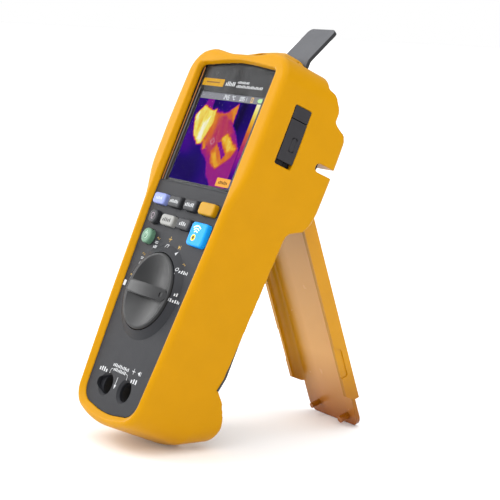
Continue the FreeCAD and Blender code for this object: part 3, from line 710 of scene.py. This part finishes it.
def add_header():
    """The blank badge and the plain caption rows in the band over the display."""
    badge = rounded(BADGE_X, HEADER_Z, 20.6, 4.2, 0.4)
    add_plates("blank_badge", [badge], HEADER_Y, 0.06, BADGE_PAINT, "meter")
    line = rounded(BADGE_X, HEADER_Z, 13.0, 0.7, 0.3)
    add_plates("blank_badge_line", [line], HEADER_Y - 0.08, 0.03,
               paint("badge line", linear(120, 84, 26)), "meter")
    rows = plain_row(-5.0, HEADER_Z, 9.2, 2.4, 6)
    rows += plain_row(6.6, HEADER_Z + 1.3, 11.0, 1.3, 9)
    rows += plain_row(13.4, HEADER_Z - 0.9, 24.6, 1.5, 18)
    add_plates("header_rows", rows, HEADER_Y, 0.05, WHITE_PAINT, "meter")


def add_window_edges():
    """Lines at the left and lower edge of the window: a warm line that is a painted reflection of the yellow
    holster rim, and grey lines that are painted highlights where the window's moulded steps catch the light.
    """
    # A painted reflection of the holster rim, then painted highlights on the two grey steps.
    edges = [
        ("window_rim_reflection", [(-33.7, 132.8), (-34.3, 197.0)], 1.0, "warm rim reflection", linear(150, 98, 50)),
        ("window_step_highlight", [(-31.4, 132.8), (-31.4, 185.6)], 0.9, "grey step highlight", linear(92, 92, 96)),
        ("window_foot_highlight", [(-33.6, 132.2), (33.6, 132.2)], 0.4, "foot step highlight", linear(70, 72, 76)),
    ]
    for name, line, width, paint_name, colour in edges:
        look = paint(paint_name, colour)
        add_plates(name, stroke(line, width), WINDOW_Y, 0.05, look, "meter")


# ---------------------------------------------------------------- panel marks

def add_dial_marks():
    """White marks at the knob's seven places, with an amber one beyond most of them."""
    white = [rounded(-29.0, 73.0, 2.4, 3.0, 0.4)]
    white += stroke([(-22.7, 88.6), (-20.0, 88.6)], 0.3) + stroke([(-22.7, 87.8), (-20.0, 87.8)], 0.3)
    white += plain_row(-21.6, 85.6, 2.2, 1.6, 2)
    white += stroke([(-15.0, 98.6), (-12.4, 98.6)], 0.3) + stroke([(-15.0, 97.8), (-12.4, 97.8)], 0.3)
    white += plain_row(-13.6, 95.8, 4.0, 1.6, 3)
    white += stroke([(-3.0, 97.0), (-3.0, 98.6), (-0.8, 98.6), (-0.8, 97.0)], 0.35)
    white += [[(8.4, 95.3), (10.0, 94.2), (10.0, 96.4)]]
    white += stroke(arc(17.2, 87.6, 0.8, 0, 360, 12), 0.3) + stroke([(17.2, 86.8), (17.2, 85.2)], 0.4)
    white += plain_row(22.0, 87.0, 7.0, 1.7, 5)
    white += plain_row(23.8, 75.2, 2.4, 1.7, 2)
    white += plain_row(23.6, 71.8, 9.0, 1.7, 7)
    add_plates("dial_marks_white", white, panel_y, 0.04, WHITE_PAINT, "meter")
    amber = stroke(wave(-25.2, 78.0, 2.8, 1.0), 0.35)
    amber += stroke(wave(-21.4, 90.6, 2.8, 1.0), 0.35)
    amber += stroke(wave(-13.2, 100.6, 2.8, 1.0), 0.35)
    amber += stroke([(-1.8, 100.4), (-1.8, 103.0)], 0.35) + stroke([(-3.2, 101.7), (-0.4, 101.7)], 0.35)
    amber += [[(8.2, 97.8), (9.8, 98.8), (8.2, 99.8)]] + stroke([(10.2, 97.9), (10.2, 99.7)], 0.35)
    amber += stroke(wave(19.4, 91.0, 2.4, 0.9), 0.3)
    add_plates("dial_marks_amber", amber, panel_y, 0.04, AMBER_PAINT, "meter")


def add_jack_marks():
    """Plain rows, brackets and an arrow between the two jacks, and plain signs over each."""
    marks = plain_row(-1.2, 31.0, 16.4, 1.7, 11)
    marks += plain_row(-1.2, 28.8, 12.8, 1.7, 9)
    marks += stroke([(-8.2, 28.8), (-9.4, 28.4), (-9.9, 27.2), (-9.9, 26.0)], 0.3)
    marks += stroke([(5.8, 28.8), (7.2, 28.4), (7.8, 27.2), (7.8, 26.0)], 0.3)
    marks += stroke([(-0.5, 25.4), (-0.5, 21.0)], 0.35)
    marks += [[(-1.5, 21.4), (-0.5, 19.2), (0.5, 21.4)]]
    marks += plain_row(-16.8, 26.8, 8.8, 2.4, 4)
    marks += plain_row(15.0, 26.8, 6.6, 2.4, 3)
    marks += stroke([(11.7, 30.2), (11.7, 32.8)], 0.35) + stroke([(10.4, 31.5), (13.0, 31.5)], 0.35)
    marks += [[(15.8, 31.5), (18.0, 30.2), (18.0, 32.8)]] + stroke([(18.9, 30.5), (18.9, 32.5)], 0.3)
    add_plates("jack_marks", marks, PANEL_Y, 0.04, WHITE_PAINT, "meter")


def lamp_sign(x, z):
    """An open ring with a short bar under it."""
    ring = stroke(arc(x, z, 1.3, -60, 240), 0.4)
    return ring + stroke([(x - 0.6, z - 1.9), (x + 0.6, z - 1.9)], 0.4)


def power_sign(x, z):
    """A ring that is open at the top, with an upright bar in the gap."""
    ring = stroke(arc(x, z, 1.7, 120, 420, 20), 0.45)
    return ring + stroke([(x, z + 0.4), (x, z + 2.4)], 0.45)


def add_key_marks():
    """The mark on each key, riding on the key: plain rows, a lamp sign and a power sign."""
    faint = paint("faint marks", linear(206, 212, 244))
    lamp_paint = paint("lamp mark", linear(176, 160, 170))
    ring_paint = paint("ring mark", linear(200, 228, 208))
    marks = [
        ("hold", plain_row(-23.1, TOP_KEYS_Z, 6.4, 1.7, 5), faint, "key_lavender"),
        ("minmax", plain_row(-7.7, TOP_KEYS_Z, 8.4, 1.8, 7), WHITE_PAINT, "key_dark"),
        ("range", plain_row(7.7, TOP_KEYS_Z, 8.6, 2.0, 6), WHITE_PAINT, "key_dark"),
        ("light", lamp_sign(*LAMP), lamp_paint, "key_dark"),
        ("setup", plain_row(-8.0, MIDDLE_KEYS_Z, 8.2, 2.0, 5), DARK_PAINT, "key_pale"),
        ("save", plain_row(8.2, MIDDLE_KEYS_Z, 6.8, 2.0, 4), WHITE_PAINT, "key_dark"),
        ("power", power_sign(*POWER), ring_paint, "key_green"),
    ]
    for key_name, outlines, look, slot in marks:
        add_plates(key_name + "_mark", outlines, BUTTON_FRONT, 0.04, look, key_name + "_button")


def add_radio_marks():
    """Three waves over a ring and dot on the wireless key."""
    x, z = RADIO
    waves = []
    for radius in (2.2, 3.6, 5.0):
        waves += stroke(arc(x + 0.6, z + 1.3, radius, 52, 128, 12), 0.6)
    white = lit("radio white", linear(232, 248, 255), 0.6)
    amber = lit("radio amber", linear(240, 196, 70), 0.5)
    marks = [
        ("radio_waves", waves, BUTTON_FRONT, white),
        ("radio_ring", [disc(x, z, 1.8)], BUTTON_FRONT, amber),
        ("radio_dot", [disc(x, z, 0.9)], BUTTON_FRONT - 0.05, DARK_PAINT),
    ]
    for name, outlines, y, look in marks:
        add_plates(name, outlines, y, 0.05, look, "wireless_button")


def add_cover_plate():
    """A plain raised frame on the outer face of the side cover, where it is pressed."""
    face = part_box("usb_cover")[1].x / MM
    corners = rounded(19.6, 166.0, 2.8, 7.4, 0.9)
    strokes = stroke(corners + corners[:1], 0.35)
    look = LOOKS["cover_rubber"]
    add_side_plates("cover_frame", strokes, face, 0.08, look, "usb_cover")


def add_back_edge_strip():
    """A dark grey strip on each side that shows past the back edge of the holster, from the heel upwards."""
    edge = [(38.6, 37.4), (39.6, 37.4), (41.2, 45.0), (41.0, 108.0), (37.6, 108.0), (37.6, 47.0),
            (40.1, 46.0)]
    look = LOOKS["inner_plastic"]
    for side, name in ((1, "back_strip_right"), (-1, "back_strip_left")):
        add_side_plates(name, [edge], side * BACK_STRIP_X, 0.3, look, "meter")


# ---------------------------------------------------------------- soft edges

SKIN_VOXEL = 0.55


def rounded_copy(name, node):
    """A mesh of a CAD node's shape with every edge rounded, as a mould leaves it."""
    copy = bpy.data.objects.new(name, NODES[node].data.copy())
    bpy.context.scene.collection.objects.link(copy)
    remesh = copy.modifiers.new("skin", "REMESH")
    remesh.mode = "VOXEL"
    remesh.voxel_size = SKIN_VOXEL * MM
    remesh.use_smooth_shade = True
    smooth = copy.modifiers.new("round", "SMOOTH")
    smooth.factor = 0.5
    smooth.iterations = 1
    graph = bpy.context.evaluated_depsgraph_get()
    mesh = bpy.data.meshes.new_from_object(copy.evaluated_get(graph))
    bpy.data.objects.remove(copy)
    mesh.name = name
    return mesh


def add_holster_skin():
    """The holster with soft edges, in place of its CAD node."""
    mesh = rounded_copy("holster_skin", "holster")
    piece = add_piece("holster_skin", mesh, LOOKS["holster_rubber"], "meter")
    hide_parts("holster")


EDGE_ROUNDS = {"switch_knob": 0.45, "kickstand": 0.4, "usb_cover": 0.35, "hanging_strap": 0.4}
OTHER_EDGES = 0.15


def bevel_nodes():
    """A small rounded edge on every CAD node that still shows."""
    for name, node in NODES.items():
        if node.hide_render:
            continue
        bevel = node.modifiers.new("edge", "BEVEL")
        bevel.width = EDGE_ROUNDS.get(name, OTHER_EDGES) * MM
        bevel.segments = 2
        bevel.limit_method = "ANGLE"
        bevel.angle_limit = math.radians(35)


# ---------------------------------------------------------------- room, light and camera

CAMERA_AT = Vector((0.6634, -0.43818, 0.21450))
CAMERA_AIM = Vector((0.0021, 0.00953, 0.09938))
CAMERA_ROLL = math.radians(3.03)
LENS = 108.7
FLOOR_REACH = 60.0


def add_camera():
    """The photographer's place: from the front right, a little above, with a slight roll."""
    data = bpy.data.cameras.new("camera")
    data.lens = LENS
    data.sensor_width = 36.0
    data.clip_start = 0.05
    camera = bpy.data.objects.new("camera", data)
    bpy.context.scene.collection.objects.link(camera)
    view = (CAMERA_AIM - CAMERA_AT).to_track_quat("-Z", "Y").to_matrix().to_4x4()
    camera.matrix_world = Matrix.Translation(CAMERA_AT) @ view @ Matrix.Rotation(CAMERA_ROLL, 4, "Z")
    bpy.context.scene.camera = camera


def add_area(name, at, aim, size, power):
    """A round soft light that points at a place."""
    data = bpy.data.lights.new(name, "AREA")
    data.shape = "DISK"
    data.size = size
    data.energy = power
    light = bpy.data.objects.new(name, data)
    light.location = at
    light.rotation_euler = (Vector(aim) - Vector(at)).to_track_quat("-Z", "Y").to_euler()
    bpy.context.scene.collection.objects.link(light)


def add_floor():
    """A plain pale floor that runs to the horizon."""
    bm = bmesh.new()
    bmesh.ops.create_grid(bm, x_segments=24, y_segments=24, size=FLOOR_REACH)
    mesh = bpy.data.meshes.new("floor")
    bm.to_mesh(mesh)
    bm.free()
    floor = bpy.data.objects.new("floor", mesh)
    bpy.context.scene.collection.objects.link(floor)
    look = Look("floor", Roughness=0.8, Specular_IOR_Level=0.1)
    tones = [(0.3, (0.86, 0.86, 0.86, 1)), (0.7, (0.88, 0.88, 0.88, 1))]
    look.link(look.ramp(look.noise(60.0, 2.0), tones), "Base Color")
    look.shader.inputs["Emission Color"].default_value = (1, 1, 1, 1)
    look.shader.inputs["Emission Strength"].default_value = 0.08
    mesh.materials.append(look.material)


def add_surround():
    """A white band round the horizon and softer light from higher up."""
    world = bpy.data.worlds.new("surround")
    world.use_nodes = True
    tree = world.node_tree
    place = tree.nodes.new("ShaderNodeTexCoord")
    split = tree.nodes.new("ShaderNodeSeparateXYZ")
    band = tree.nodes.new("ShaderNodeValToRGB")
    low, high = band.color_ramp.elements
    low.position = 0.10
    low.color = (1, 1, 1, 1)
    high.position = 0.35
    high.color = (0.4, 0.4, 0.4, 1)
    tree.links.new(place.outputs["Generated"], split.inputs["Vector"])
    tree.links.new(split.outputs["Z"], band.inputs["Fac"])
    tree.links.new(band.outputs["Color"], tree.nodes["Background"].inputs["Color"])
    bpy.context.scene.world = world


def add_sun(name, towards, strength, softness):
    """Wide even light, the same all over the floor."""
    data = bpy.data.lights.new(name, "SUN")
    data.energy = strength
    data.angle = math.radians(softness)
    light = bpy.data.objects.new(name, data)
    light.rotation_euler = Vector(towards).to_track_quat("Z", "Y").to_euler()
    bpy.context.scene.collection.objects.link(light)


def add_lights():
    add_surround()
    add_sun("overhead", (0.0, -0.26, 0.96), 3.5, 120)
    target = (0, 0.02, 0.10)
    add_area("key_light", (-0.55, -0.85, 0.95), target, 0.5, 3.4)
    add_area("left_light", (-0.9, -0.3, 0.3), target, 0.5, 2.0)
    add_area("side_light", (1.2, 0.1, 0.65), target, 0.8, 1.6)
    bpy.context.scene.view_settings.view_transform = "Standard"


dress_nodes()
add_holster_skin()
add_picture()
add_display_marks()
add_header()
add_window_edges()
add_dial_marks()
add_jack_marks()
add_key_marks()
add_radio_marks()
add_cover_plate()
add_back_edge_strip()
bevel_nodes()
add_floor()
add_lights()
add_camera()
